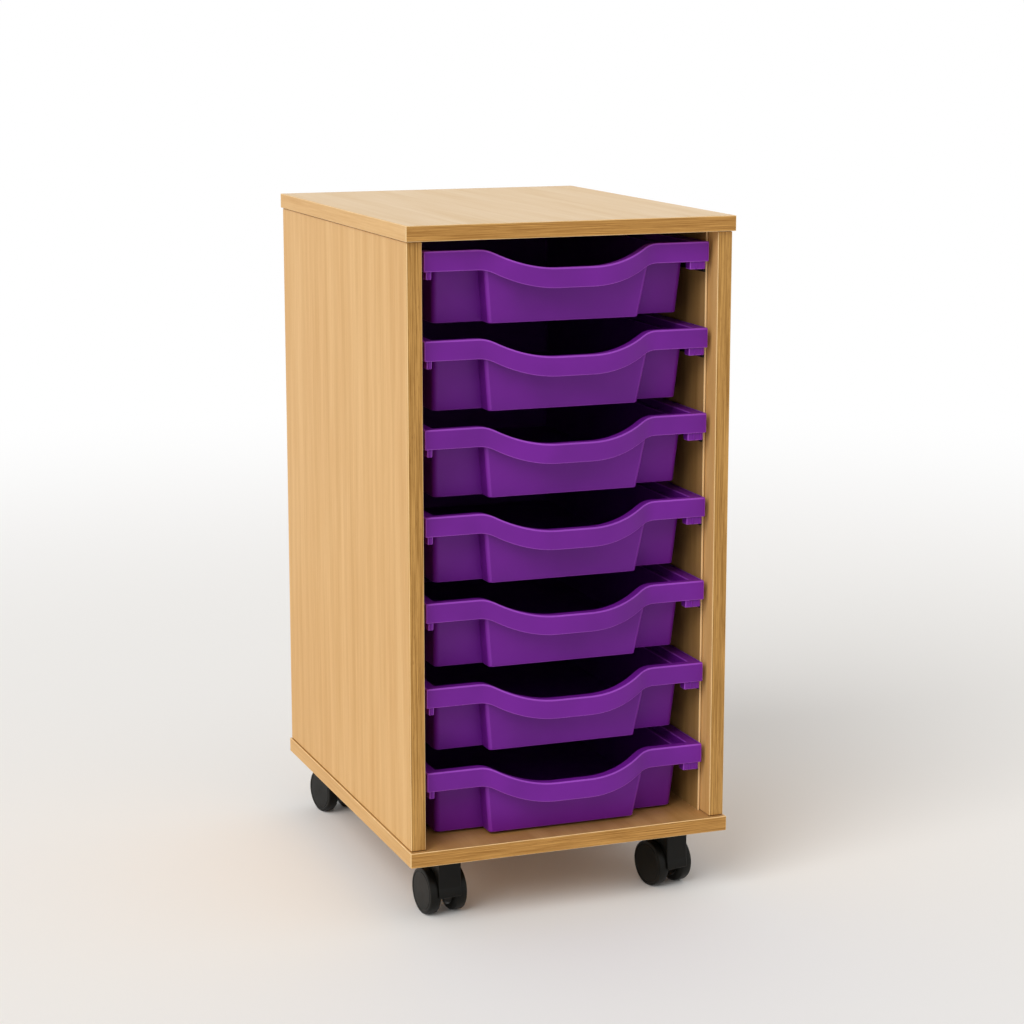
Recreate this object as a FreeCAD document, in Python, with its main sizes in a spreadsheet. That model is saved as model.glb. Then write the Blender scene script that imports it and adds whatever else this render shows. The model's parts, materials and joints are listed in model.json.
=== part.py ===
import FreeCAD, Part

import math
import os

import Sketcher
from FreeCAD import Placement, Rotation, Vector

# Classroom tray storage unit: a beech-faced carcass on four twin-wheel castors, with seven moulded trays that
# slide on plastic runners behind a waved pull lip.
#
# Millimetres, +Z up. The open front faces -Y. The origin is on the floor, at the middle of the footprint.

TRAYS = 7

SIZES = (
    # Trays
    ("tray_width", 312, "rim, outside to outside"),
    ("tray_depth", 427, "lip's end plane to the back of the rim"),
    ("tray_height", 76, "underside of the floor to the top of the rim"),
    ("tray_wall", 2, "moulded wall and floor"),
    ("tray_pitch", 90, "one tray to the next"),
    ("lip_height", 20, "pull lip and rim skirt, top to bottom"),
    ("lip_wall", 2.2, "pull lip, rim skirt and rim flange"),
    ("lip_dip", 19, "how far the lip dips at the middle"),
    ("lip_bow", 19, "how far the lip bows forward at the middle"),
    ("wave_start", 98, "middle of the tray to where the lip starts to curve"),
    ("wave_shoulder", 35, "radius of the lip's shoulder"),
    ("wave_scoop", 140, "radius of the lip's scoop"),
    ("rim_width", 17, "rim's edge out from the wall below it"),
    ("rim_flange", 11, "flat top of the rim, from its edge to the opening's wall"),
    ("rim_step", 8, "opening's wall, from the rim's top down to the ledge around the tray"),
    ("rim_corner", 6, "rim's back corners, cut off on each side"),
    ("wall_corner", 6, "corner radius of the walls"),
    ("wall_taper", 3.5, "side and back walls, in at the floor"),
    ("front_recess", 22, "front wall behind the lip's end plane"),
    ("front_rake", 13, "front wall, back at the floor"),
    ("bulge_depth", 21, "front bulge, forward of the front wall"),
    ("bulge_width", 186, "front bulge at the rim"),
    ("bulge_taper", 10.5, "front bulge, in at the floor on each side"),
    ("bulge_corner", 4, "corner radius of the front bulge"),
    ("lug_drop", 8, "lug below the lip, in front of each runner"),
    ("lug_inset", 3, "lug in from the rim's edge"),
    # Carcass
    ("board", 16, "carcass boards"),
    ("edging", 2, "edging strips"),
    ("liner", 3, "side liners"),
    ("tray_clearance", 2.5, "rim to liner"),
    ("base_gap", 3, "lowest tray above the base"),
    ("top_gap", 12, "highest tray below the top"),
    ("lip_setback", 10, "lip's end plane behind the sides' front edges"),
    ("rear_clearance", 6, "rim to back panel"),
    ("back_board", 6, "back panel"),
    ("back_rebate", 8, "back panel into each side"),
    ("side_overhang", 2, "top and base beyond each side"),
    ("front_overhang", 5, "top and base beyond the sides' front edges"),
    ("rear_overhang", 2, "top and base beyond the sides' back edges"),
    ("liner_setback", 23.5, "liners behind the sides' front edges"),
    ("biscuit_length", 56, "beech biscuits, along the joint"),
    ("biscuit_width", 20, "beech biscuits, across the joint"),
    ("biscuit_thickness", 4, "beech biscuits"),
    ("biscuit_point", 12, "slope at each end of a biscuit"),
    ("biscuit_inset", 90, "middle of a biscuit in from the sides' edges"),
    # Runners
    ("runner_length", 405, "runners"),
    ("runner_wall", 2, "ledge and web"),
    ("runner_ledge", 14, "ledge, out from the liner"),
    ("runner_web", 12, "web, down from the ledge's top"),
    ("runner_gap", 0.3, "rim skirt above the ledge, and lug in front of it"),
    # Castors
    ("castor_height", 68, "floor to the underside of the base"),
    ("castor_inset_x", 49.5, "swivel axis in from the base's side edge"),
    ("castor_inset_front", 36, "front swivel axes in from the base's front edge"),
    ("castor_inset_back", 43, "back swivel axes in from the base's back edge"),
    ("castor_trail", 14, "axle behind the swivel axis"),
    ("plate_size", 42, "castor plate"),
    ("plate_thickness", 2.5, "castor plate"),
    ("plate_chamfer", 5, "castor plate's cut corners"),
    ("pivot_diameter", 8, "swivel pin"),
    ("pivot_length", 20, "swivel pin below the plate"),
    ("running_fit", 0.05, "radial clearance of pins in their bores"),
    ("castor_gap", 0.5, "hood clear of the plate and of the wheels"),
    ("wheel_diameter", 50, "wheels"),
    ("wheel_width", 15, "wheels"),
    ("wheel_spacing", 12.5, "between the two wheels of a castor"),
    ("wheel_skin", 2.5, "closed outer face over the axle's end"),
    ("axle_diameter", 6, "hood's stub axles"),
    ("hood_wall", 2.5, "hood"),
    ("hood_neck", 25, "hood's block around the swivel pin, front to back"),
    ("hood_lip", 2, "hood's lower edge below the axle, at the front"),
    ("hood_side", 8.5, "hood's sides in from the wheels' outer faces"),
    ("hood_sweep", 40, "hood's back edge above the axle, in degrees"),
    ("axle_boss", 13, "hood around the axle, diameter"),
    ("turn_front_left", 6, "castor's turn, in degrees"),
    ("turn_front_right", 12, "castor's turn, in degrees"),
    ("turn_back_left", 12, "castor's turn, in degrees"),
    ("turn_back_right", 9, "castor's turn, in degrees"),
)

doc = FreeCAD.newDocument("tray_unit")
sheet = doc.addObject("Spreadsheet::Sheet", "Sizes")
for row, (alias, size, note) in enumerate(SIZES, start=1):
    sheet.set(f"A{row}", alias)
    sheet.set(f"B{row}", str(size))
    sheet.setAlias(f"B{row}", alias)
    sheet.set(f"C{row}", note)
doc.recompute()

# Places that several pieces share, worked out from the sizes.
RIM_HALF = "(Sizes.tray_width / 2)"
LINER_FACE = f"({RIM_HALF} + Sizes.tray_clearance)"
INNER_HALF = f"({LINER_FACE} + Sizes.liner)"
SIDE_HALF = f"({INNER_HALF} + Sizes.board)"
TOP_HALF = f"({SIDE_HALF} + Sizes.side_overhang)"

BEHIND_LIP = "(Sizes.tray_depth + Sizes.rear_clearance + Sizes.back_board + Sizes.rear_overhang)"
LIP_Y = f"((Sizes.lip_bow - {BEHIND_LIP}) / 2)"
SIDE_FRONT = f"({LIP_Y} - Sizes.lip_setback)"
TOP_FRONT = f"({SIDE_FRONT} - Sizes.front_overhang)"
LINER_FRONT = f"({SIDE_FRONT} + Sizes.liner_setback)"
BACK_FACE = f"({LIP_Y} + Sizes.tray_depth + Sizes.rear_clearance)"
SIDE_BACK = f"({BACK_FACE} + Sizes.back_board)"
TOP_BACK = f"({SIDE_BACK} + Sizes.rear_overhang)"

BASE_Z = "Sizes.castor_height"
FLOOR_Z = f"({BASE_Z} + Sizes.board)"
LOWEST_RIM = f"({FLOOR_Z} + Sizes.base_gap + Sizes.tray_height)"
CEILING_Z = f"({LOWEST_RIM} + {TRAYS - 1} * Sizes.tray_pitch + Sizes.top_gap)"

AXLE_Z = "(Sizes.wheel_diameter / 2 - Sizes.castor_height)"
HANDS = (("left", -1), ("right", 1))


def value(expression):
    """Number that an expression of the sheet's sizes gives now."""
    return float(sheet.evalExpression(expression))


def bind(thing, **expressions):
    """Tie properties to expressions; a double underscore stands for a dot."""
    for name, expression in expressions.items():
        thing.setExpression(name.replace("__", "."), expression)


# Sketches


def origin_plane(body, role):
    """One of a body's own origin planes."""
    return next(item for item in body.Origin.OriginFeatures if item.Role == role)


def sketch_on(body, name, role, offset="0"):
    """Empty sketch on an origin plane of the body, moved along its normal."""
    sketch = body.newObject("Sketcher::SketchObject", name)
    sketch.AttachmentSupport = (origin_plane(body, role), [""])
    sketch.MapMode = "FlatFace"
    bind(sketch, AttachmentOffset__Base__z=offset)
    return sketch


def free_sketch(name, rotation, **place):
    """Empty sketch that belongs to no body."""
    sketch = doc.addObject("Sketcher::SketchObject", name)
    sketch.Placement = Placement(Vector(), rotation)
    bind(sketch, **{f"Placement__Base__{axis}": expression for axis, expression in place.items()})
    return sketch


def constrain(sketch, expression, kind, *where):
    """Add a dimension and tie it to an expression."""
    index = sketch.addConstraint(Sketcher.Constraint(kind, *where, value(expression)))
    sketch.setExpression(f"Constraints[{index}]", expression)


def arc_between(start, end, radius, left):
    """Minor arc from start to end with its centre to the left or right; arcs run anticlockwise."""
    chord = end - start
    side = Vector(-chord.y, chord.x, 0).normalize() * (1 if left else -1)
    centre = (start + end) / 2 + side * math.sqrt(radius**2 - (chord.Length / 2) ** 2)
    first, last = (start, end) if left else (end, start)
    angles = [math.atan2(point.y - centre.y, point.x - centre.x) for point in (first, last)]
    return Part.ArcOfCircle(Part.Circle(centre, Vector(0, 0, 1), radius), *angles)


def draw(sketch, path):
    """Closed outline. A path entry is a point's x and y and the way to the next point: None for a straight
    line, or (turn, radius) for an arc that turns left or right."""
    points = [Vector(value(x), value(y), 0) for x, y, _ in path]
    ends = []
    for number, (_, _, way) in enumerate(path):
        start, end = points[number], points[(number + 1) % len(points)]
        if way is None:
            ends.append((sketch.addGeometry(Part.LineSegment(start, end)), 1, 2))
            continue
        turn, radius = way
        left = turn == "left"
        geometry = sketch.addGeometry(arc_between(start, end, value(radius), left))
        ends.append((geometry, 1, 2) if left else (geometry, 2, 1))
        constrain(sketch, radius, "Radius", geometry)
    for number, (x, y, _) in enumerate(path):
        geometry, begin, _ = ends[number]
        previous, _, finish = ends[number - 1]
        sketch.addConstraint(Sketcher.Constraint("Coincident", previous, finish, geometry, begin))
        constrain(sketch, x, "DistanceX", -1, 1, geometry, begin)
        constrain(sketch, y, "DistanceY", -1, 1, geometry, begin)
    return sketch


def straight(*points):
    """Path of straight lines through the points."""
    return [(x, y, None) for x, y in points]


def box_path(low_x, low_y, high_x, high_y):
    """Path of a rectangle."""
    return straight((low_x, low_y), (high_x, low_y), (high_x, high_y), (low_x, high_y))


def circles(sketch, centres, diameter):
    """Circles of one diameter."""
    for x, y in centres:
        circle = Part.Circle(Vector(value(x), value(y), 0), Vector(0, 0, 1), value(diameter) / 2)
        geometry = sketch.addGeometry(circle)
        constrain(sketch, diameter, "Diameter", geometry)
        constrain(sketch, x, "DistanceX", -1, 1, geometry, 3)
        constrain(sketch, y, "DistanceY", -1, 1, geometry, 3)
    return sketch


# Features of a body


def new_body(name):
    return doc.addObject("PartDesign::Body", name)


def pad(body, sketch, length, flip=False, both_ways=False):
    """Pad along the sketch's normal, against it, or half each way."""
    feature = body.newObject("PartDesign::Pad", f"{sketch.Name}_pad")
    feature.Profile = sketch
    feature.Reversed = flip
    feature.Midplane = both_ways
    bind(feature, Length=length)
    doc.recompute()


def pocket(body, sketch, depth, flip=False, both_ways=False):
    """Pocket against the sketch's normal, along it, or half each way, that has to take something off."""
    before = body.Shape.Volume
    feature = body.newObject("PartDesign::Pocket", f"{sketch.Name}_pocket")
    feature.Profile = sketch
    feature.Reversed = flip
    feature.Midplane = both_ways
    bind(feature, Length=depth)
    doc.recompute()
    if not body.Shape.Volume < before:
        raise ValueError(f"{sketch.Name} cuts nothing")


# Solids outside bodies


def extruded(name, outline, direction, length, **place):
    """Solid from an outline, along a direction."""
    solid = doc.addObject("Part::Extrusion", name)
    solid.Base = outline
    solid.DirMode = "Custom"
    solid.Dir = direction
    solid.Solid = True
    bind(solid, LengthFwd=length, **{f"Placement__Base__{axis}": where for axis, where in place.items()})
    return solid


def inset(name, outline, distance):
    """Outline moved inwards."""
    inner = doc.addObject("Part::Offset2D", name)
    inner.Source = outline
    bind(inner, Value=f"-{distance}")
    return inner


def joined(name, shapes):
    solid = doc.addObject("Part::MultiFuse", name)
    solid.Shapes = shapes
    solid.Refine = True
    return solid


def shared(name, one, other):
    solid = doc.addObject("Part::Common", name)
    solid.Base = one
    solid.Tool = other
    return solid


def without(name, one, other):
    solid = doc.addObject("Part::Cut", name)
    solid.Base = one
    solid.Tool = other
    return solid


def block(name, low, high):
    """Box between two corners given as expressions."""
    solid = doc.addObject("Part::Box", name)
    for axis, side, start, end in zip("xyz", ("Length", "Width", "Height"), low, high):
        bind(solid, **{f"Placement__Base__{axis}": start, side: f"{end} - ({start})"})
    return solid


def mirrored(name, source, normal):
    solid = doc.addObject("Part::Mirroring", name)
    solid.Source = source
    solid.Normal = normal
    return solid


def group(name, members):
    """One sub-part of several solids, or a form in its place."""
    whole = doc.addObject("Part::Compound", name)
    whole.Links = members
    return whole


def placed(name, form, x, y, z, rotation=Rotation(), turn=None):
    """A form in its place, turned by a fixed rotation or about +Z by an expression."""
    copy = group(name, [form])
    copy.Placement = Placement(Vector(), rotation if turn is None else Rotation(Vector(0, 0, 1), 1))
    bind(copy, Placement__Base__x=x, Placement__Base__y=y, Placement__Base__z=z)
    if turn is not None:
        bind(copy, Placement__Rotation__Angle=turn)
    return copy


# Carcass


CASTORS = {
    "front_left": (-1, -1),
    "front_right": (1, -1),
    "back_left": (-1, 1),
    "back_right": (1, 1),
}


def castor_axis(across, along):
    """Swivel axis of the castor at one corner of the base."""
    x = f"{across} * ({TOP_HALF} - Sizes.castor_inset_x)"
    y = f"{TOP_BACK} - Sizes.castor_inset_back" if along > 0 else f"{TOP_FRONT} + Sizes.castor_inset_front"
    return x, y


def biscuit_middles():
    """Middles of the biscuits along a side panel's end."""
    return (f"{SIDE_FRONT} + Sizes.biscuit_inset", f"{SIDE_BACK} - Sizes.biscuit_inset")


def biscuit_path(x, y, length, thickness):
    """Path of a biscuit in plan."""
    end, side = f"({length}) / 2", f"({thickness}) / 2"
    return box_path(f"{x} - {side}", f"{y} - {end}", f"{x} + {side}", f"{y} + {end}")


def slot_biscuits(body, name, height, hands, flip):
    """Slots for the biscuits, half a biscuit deep, up or down from a joint."""
    for hand in hands:
        for number, y in enumerate(biscuit_middles(), start=1):
            x = f"({hand} * ({INNER_HALF} + Sizes.board / 2))"
            slot = sketch_on(body, f"{name}_slot_{'left' if hand < 0 else 'right'}_{number}", "XY_Plane", height)
            draw(slot, biscuit_path(x, y, "Sizes.biscuit_length", "Sizes.biscuit_thickness"))
            pocket(body, slot, "Sizes.biscuit_width / 2", flip=flip)


def flat_board(name, bottom):
    """Top or base board inside its edging."""
    body = new_body(name)
    edge_x = f"({TOP_HALF} - Sizes.edging)"
    outline = box_path(f"-{edge_x}", f"{TOP_FRONT} + Sizes.edging", edge_x, f"{TOP_BACK} - Sizes.edging")
    pad(body, draw(sketch_on(body, f"{name}_outline", "XY_Plane", bottom), outline), "Sizes.board")
    return body


def make_top():
    body = flat_board("top_panel", CEILING_Z)
    slot_biscuits(body, "top", CEILING_Z, (-1, 1), flip=True)
    return body


def make_base():
    body = flat_board("base_panel", BASE_Z)
    slot_biscuits(body, "base", FLOOR_Z, (-1, 1), flip=False)
    return body


def board_edging(name, bottom):
    """Four strips around a board; the front and back ones cover the side ones' ends."""
    inner_x = f"({TOP_HALF} - Sizes.edging)"
    front, back = f"({TOP_FRONT} + Sizes.edging)", f"({TOP_BACK} - Sizes.edging)"
    top = f"{bottom} + Sizes.board"
    strips = [
        block(f"{name}_front", (f"-{TOP_HALF}", TOP_FRONT, bottom), (TOP_HALF, front, top)),
        block(f"{name}_back", (f"-{TOP_HALF}", back, bottom), (TOP_HALF, TOP_BACK, top)),
        block(f"{name}_left", (f"-{TOP_HALF}", front, bottom), (f"-{inner_x}", back, top)),
        block(f"{name}_right", (inner_x, front, bottom), (TOP_HALF, back, top)),
    ]
    return group(name, strips)


def make_side(hand_name, hand):
    """Side board, rebated for the back and slotted for the biscuits."""
    body = new_body(f"side_panel_{hand_name}")
    inner = f"{hand} * {INNER_HALF}"
    front = f"{SIDE_FRONT} + Sizes.edging"
    outline = sketch_on(body, f"side_{hand_name}_outline", "YZ_Plane", inner)
    pad(body, draw(outline, box_path(front, FLOOR_Z, SIDE_BACK, CEILING_Z)), "Sizes.board", flip=hand < 0)

    rebate = sketch_on(body, f"side_{hand_name}_rebate", "YZ_Plane", inner)
    draw(rebate, box_path(BACK_FACE, FLOOR_Z, SIDE_BACK, CEILING_Z))
    pocket(body, rebate, "Sizes.back_rebate", flip=hand > 0)

    slot_biscuits(body, f"side_{hand_name}_upper", CEILING_Z, (hand,), flip=False)
    slot_biscuits(body, f"side_{hand_name}_lower", FLOOR_Z, (hand,), flip=True)
    return body


def make_side_edging(hand_name, hand):
    """Strip on a side panel's front edge."""
    near, far = (INNER_HALF, SIDE_HALF) if hand > 0 else (f"-{SIDE_HALF}", f"-{INNER_HALF}")
    return block(
        f"side_edging_{hand_name}",
        (near, SIDE_FRONT, FLOOR_Z),
        (far, f"{SIDE_FRONT} + Sizes.edging", CEILING_Z),
    )


def make_liner(hand_name, hand):
    """Thin board on a side panel's inner face, that carries the runners."""
    near, far = (LINER_FACE, INNER_HALF) if hand > 0 else (f"-{INNER_HALF}", f"-{LINER_FACE}")
    return block(f"side_liner_{hand_name}", (near, LINER_FRONT, FLOOR_Z), (far, BACK_FACE, CEILING_Z))


def make_back():
    """Back board, held in the sides' rebates."""
    reach = f"({INNER_HALF} + Sizes.back_rebate)"
    return block("back_panel", (f"-{reach}", BACK_FACE, FLOOR_Z), (reach, SIDE_BACK, CEILING_Z))


def make_biscuits():
    """Biscuits that join the top and the base to the sides: flat, with pointed ends."""
    form = new_body("biscuit_form")
    end, side, flat = "Sizes.biscuit_length / 2", "Sizes.biscuit_width / 2", "Sizes.biscuit_width / 5"
    shoulder = f"({end} - Sizes.biscuit_point)"
    outline = straight(
        (f"-{end}", f"-{flat}"),
        (f"-{shoulder}", f"-{side}"),
        (shoulder, f"-{side}"),
        (end, f"-{flat}"),
        (end, flat),
        (shoulder, side),
        (f"-{shoulder}", side),
        (f"-{end}", flat),
    )
    profile = draw(sketch_on(form, "biscuit_outline", "YZ_Plane"), outline)
    pad(form, profile, "Sizes.biscuit_thickness", both_ways=True)
    biscuits = []
    for hand_name, hand in HANDS:
        x = f"{hand} * ({INNER_HALF} + Sizes.board / 2)"
        for joint, z in (("upper", CEILING_Z), ("lower", FLOOR_Z)):
            for number, y in enumerate(biscuit_middles(), start=1):
                biscuits.append(placed(f"biscuit_{hand_name}_{joint}_{number}", form, x, y, z))
    return group("biscuits", biscuits)


# Runners

RUNNER_TOP = "(Sizes.lip_height + Sizes.runner_gap)"
RUNNER_FRONT = f"({LINER_FRONT} + Sizes.runner_gap)"


def tray_rim_height(number):
    """Height of a tray's rim; tray 1 is the highest."""
    return f"{LOWEST_RIM} + {TRAYS - number} * Sizes.tray_pitch"


def make_runner_form():
    """Right-hand L-section runner, with the ledge's top at Z 0, the liner's face at X 0 and the middle of its
    length at Y 0."""
    body = new_body("runner_form")
    section = straight(
        ("0", "0"),
        ("-Sizes.runner_ledge", "0"),
        ("-Sizes.runner_ledge", "-Sizes.runner_wall"),
        ("-Sizes.runner_wall", "-Sizes.runner_wall"),
        ("-Sizes.runner_wall", "-Sizes.runner_web"),
        ("0", "-Sizes.runner_web"),
    )
    profile = draw(sketch_on(body, "runner_section", "XZ_Plane"), section)
    pad(body, profile, "Sizes.runner_length", both_ways=True)
    return body


def make_runners():
    """A pair of runners under each tray's rim."""
    form = make_runner_form()
    runners = []
    for hand_name, hand in HANDS:
        facing = Rotation(Vector(0, 0, 1), 0 if hand > 0 else 180)
        for number in range(1, TRAYS + 1):
            x, y = f"{hand} * {LINER_FACE}", f"{RUNNER_FRONT} + Sizes.runner_length / 2"
            height = f"{tray_rim_height(number)} - {RUNNER_TOP}"
            runners.append(placed(f"runner_{hand_name}_{number}", form, x, y, height, facing))
    return runners


# Trays. A tray's own frame has its lip's end plane at Y 0, the top of its rim at Z 0 and its middle at X 0.


WAVE_RADII = "(Sizes.wave_shoulder + Sizes.wave_scoop)"


def wave_reach(depth):
    """Length of half of the lip's wave."""
    return f"sqrt({depth} * (2 * {WAVE_RADII} - {depth}))"


def wave(depth):
    """Half of the lip's wave, as points from its shoulder to its middle; its two arcs meet in a smooth slope."""
    reach, share = wave_reach(depth), f"Sizes.wave_shoulder / {WAVE_RADII}"
    turn = (f"(Sizes.wave_start - {share} * {reach})", f"(-{share} * {depth})")
    return [("Sizes.wave_start", "0"), turn, (f"(Sizes.wave_start - {reach})", f"(-{depth})")]


def scoop_middle(depth):
    """Point halfway along the scoop's arc."""
    reach = wave_reach(depth)
    turn = f"(asin({reach} / {WAVE_RADII}) / 2)"
    x = f"(Sizes.wave_start - {reach} + Sizes.wave_scoop * sin({turn}))"
    return x, f"(Sizes.wave_scoop * (1 - cos({turn})) - {depth})"


def wave_path(depth, drop="0", backwards=False, smooth=True):
    """The whole wave as path entries, a distance below its rest place, from left to right or from right to
    left. What the rim hides follows it in straight lines, since there are seven trays."""
    half = wave(depth)
    out, back = ("left", "right") if backwards else ("right", "left")
    shoulder, scoop = (out, "Sizes.wave_shoulder"), (back, "Sizes.wave_scoop")
    first, second = (shoulder, scoop, None), (scoop, shoulder, None)
    if not smooth:
        half.insert(2, scoop_middle(depth))
        first = second = (None,) * len(half)
    near, far = ("", "-") if backwards else ("-", "")
    down = [(f"{near}{x}", f"{y} - ({drop})", way) for (x, y), way in zip(half, first)]
    up = [(f"{far}{x}", f"{y} - ({drop})", way) for (x, y), way in zip(half[::-1], second)]
    return down + up


def waved_slab(name, top, bottom, smooth=(True, True)):
    """Slab as large as the tray between two drops below the rim, which dips with the lip in its front half."""
    reach = f"({RIM_HALF} + Sizes.rim_width)"
    start, middle, end = "(-2 * Sizes.lip_bow)", "(Sizes.tray_depth / 2)", "(Sizes.tray_depth + Sizes.rim_width)"
    section = free_sketch(f"{name}_section", Rotation(Vector(1, 0, 0), 90), y=start)
    dip, (over, under) = "Sizes.lip_dip", smooth
    path = [(f"-{reach}", f"-({top})", None)] + wave_path(dip, top, smooth=over)
    path += [(reach, f"-({top})", None), (reach, f"-({bottom})", None)]
    path += wave_path(dip, bottom, backwards=True, smooth=under) + [(f"-{reach}", f"-({bottom})", None)]
    front = extruded(f"{name}_front", draw(section, path), Vector(0, 1, 0), f"{middle} - {start}")
    rear = block(f"{name}_rear", (f"-{reach}", middle, f"-({bottom})"), (reach, end, f"-({top})"))
    return joined(name, [front, rear])


def tapered(body, name, foot, mouth, bottom):
    """Upright tapered block in a body, up to the rim; foot and mouth are half-width, front and back."""
    wedge = body.newObject("PartDesign::AdditiveWedge", name)
    wedge.Placement = Placement(Vector(), Rotation(Vector(1, 0, 0), 90))
    half, front, back = foot
    bind(wedge, Xmin=f"-{half}", Xmax=half, Zmin=f"-{back}", Zmax=f"-{front}", Ymin=bottom, Ymax="0")
    half, front, back = mouth
    bind(wedge, X2min=f"-{half}", X2max=half, Z2min=f"-{back}", Z2max=f"-{front}")
    doc.recompute()


def upright_edges(shape, wanted):
    """Names of a shape's upright edges whose higher end passes a test."""
    names = []
    for number, edge in enumerate(shape.Edges, start=1):
        low, high = sorted((edge.Vertexes[0].Point, edge.Vertexes[-1].Point), key=lambda point: point.z)
        if high.z - low.z > 0.9 * edge.Length and wanted(high):
            names.append(f"Edge{number}")
    return names


def ease(body, name, kind, wanted, **size):
    """Fillet or Chamfer on the upright edges of a body's last feature that pass a test."""
    base = body.Tip
    feature = body.newObject(f"PartDesign::{kind}", name)
    feature.Base = (base, upright_edges(base.Shape, wanted))
    bind(feature, **size)
    doc.recompute()


def tub(name, inside, bottom):
    """Tapered walls as a solid, with a bulge at the middle of the front, a distance inside the outer walls."""
    body = new_body(name)
    side, back = f"({RIM_HALF} - Sizes.rim_width - {inside})", f"(Sizes.tray_depth - Sizes.rim_width - {inside})"
    recess = f"(Sizes.front_recess + {inside})"
    face = f"({recess} - Sizes.bulge_depth)"
    bulge = f"(Sizes.bulge_width / 2 - {inside})"
    taper, rake = "Sizes.wall_taper", "Sizes.front_rake"
    walls_foot = (f"({side} - {taper})", f"({recess} + {rake})", f"({back} - {taper})")
    tapered(body, f"{name}_walls", walls_foot, (side, recess, back), bottom)
    bulge_foot = (f"({bulge} - Sizes.bulge_taper)", f"({face} + {rake})", "(Sizes.tray_depth / 2)")
    tapered(body, f"{name}_bulge", bulge_foot, (bulge, face, "(Sizes.tray_depth / 2)"), bottom)
    return body


def is_wall_corner(point):
    return abs(point.x) > value("Sizes.bulge_width / 2") + 1


def is_bulge_corner(point):
    return point.y < value("Sizes.front_recess") - 1


def outer_walls():
    """Outside of the tray's walls and floor, with round corners."""
    body = tub("outer_walls", "0", "-Sizes.tray_height")
    ease(body, "wall_corners", "Fillet", is_wall_corner, Radius="Sizes.wall_corner")
    ease(body, "bulge_corners", "Fillet", is_bulge_corner, Radius="Sizes.bulge_corner")
    return body


def cavity():
    """Inside of the tray, with each corner cut square across the middle of the round outside it."""
    body = tub("cavity", "Sizes.tray_wall", "-Sizes.tray_height + Sizes.tray_wall")
    for name, corner, wanted in (("wall", "Sizes.wall_corner", is_wall_corner),
                                 ("bulge", "Sizes.bulge_corner", is_bulge_corner)):
        size = f"(2 - sqrt(2)) * ({corner} - Sizes.tray_wall)"
        ease(body, f"inner_{name}_corners", "Chamfer", wanted, Size=size)
    return body


def make_lugs():
    """Lugs under the lip's ends, just ahead of the runners."""
    near = f"({RIM_HALF} - Sizes.rim_width - Sizes.wall_taper)"
    far = f"({RIM_HALF} - Sizes.lug_inset)"
    back = f"({LINER_FRONT} - {LIP_Y})"
    bottom = "(-Sizes.lip_height - Sizes.lug_drop)"
    lugs = []
    for hand_name, hand in HANDS:
        low, high = (near, far) if hand > 0 else (f"-{far}", f"-{near}")
        lugs.append(block(f"lug_{hand_name}", (low, "Sizes.lip_wall", bottom), (high, back, "0")))
    return lugs


def make_tray_form():
    """Moulded tray: tapered walls, a ledge around their mouth, and a flanged rim whose front is a pull lip that dips
    and bows forward."""
    rim = free_sketch("rim_outline", Rotation(), z="-2 * Sizes.tray_height")
    corner, rear, wall = "Sizes.rim_corner", "Sizes.tray_depth", "Sizes.tray_wall"
    front = [(f"-{RIM_HALF}", "0", None)] + wave_path("Sizes.lip_bow") + [(RIM_HALF, "0", None)]
    draw(rim, front + straight(
        (RIM_HALF, f"{rear} - {corner}"),
        (f"{RIM_HALF} - {corner}", rear),
        (f"-({RIM_HALF} - {corner})", rear),
        (f"-{RIM_HALF}", f"{rear} - {corner}"),
    ))
    up, tall = Vector(0, 0, 1), "3 * Sizes.tray_height"
    rim_block = extruded("rim_block", rim, up, tall)
    skirt_void = extruded("skirt_void", inset("skirt_inside", rim, "Sizes.lip_wall"), up, tall)
    step_block = extruded("step_block", inset("step_outside", rim, "Sizes.rim_flange"), up, tall)
    step_void = extruded("step_void", inset("step_inside", rim, f"(Sizes.rim_flange + {wall})"), up, tall)
    ledge, below = f"(Sizes.rim_step + {wall})", "(2 * Sizes.tray_height)"

    edge = shared("rim_edge", rim_block, waved_slab("edge_slab", "0", "Sizes.lip_height"))
    skirt = without("rim_skirt", edge, skirt_void)
    flange = shared("rim_flange", rim_block, waved_slab("flange_slab", "0", "Sizes.lip_wall"))
    step = shared("rim_step", step_block, waved_slab("step_slab", "0", ledge, smooth=(True, False)))
    lower = waved_slab("wall_slab", "Sizes.rim_step", below, smooth=(False, False))
    walls = shared("walls_below_step", outer_walls(), lower)
    outside = joined("tray_outside", [skirt, flange, step, walls] + make_lugs())

    hollow = cavity()
    upper = waved_slab("mouth_slab", "-Sizes.lip_wall", "Sizes.rim_step", smooth=(False, False))
    mouth = shared("mouth", step_void, upper)
    throat = shared("throat", hollow, step_void)
    room = shared("room", hollow, waved_slab("room_slab", ledge, below, smooth=(False, False)))
    return without("tray_form", outside, joined("tray_hollow", [mouth, throat, room]))


def make_trays():
    """Every tray, closed in its place."""
    form = make_tray_form()
    return [placed(f"tray_{n}", form, "0", LIP_Y, tray_rim_height(n)) for n in range(1, TRAYS + 1)]


# Castors. A castor's own frame has its swivel axis at X 0 and Y 0 and the base's underside at Z 0, and its wheels
# trail towards +Y.


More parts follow.
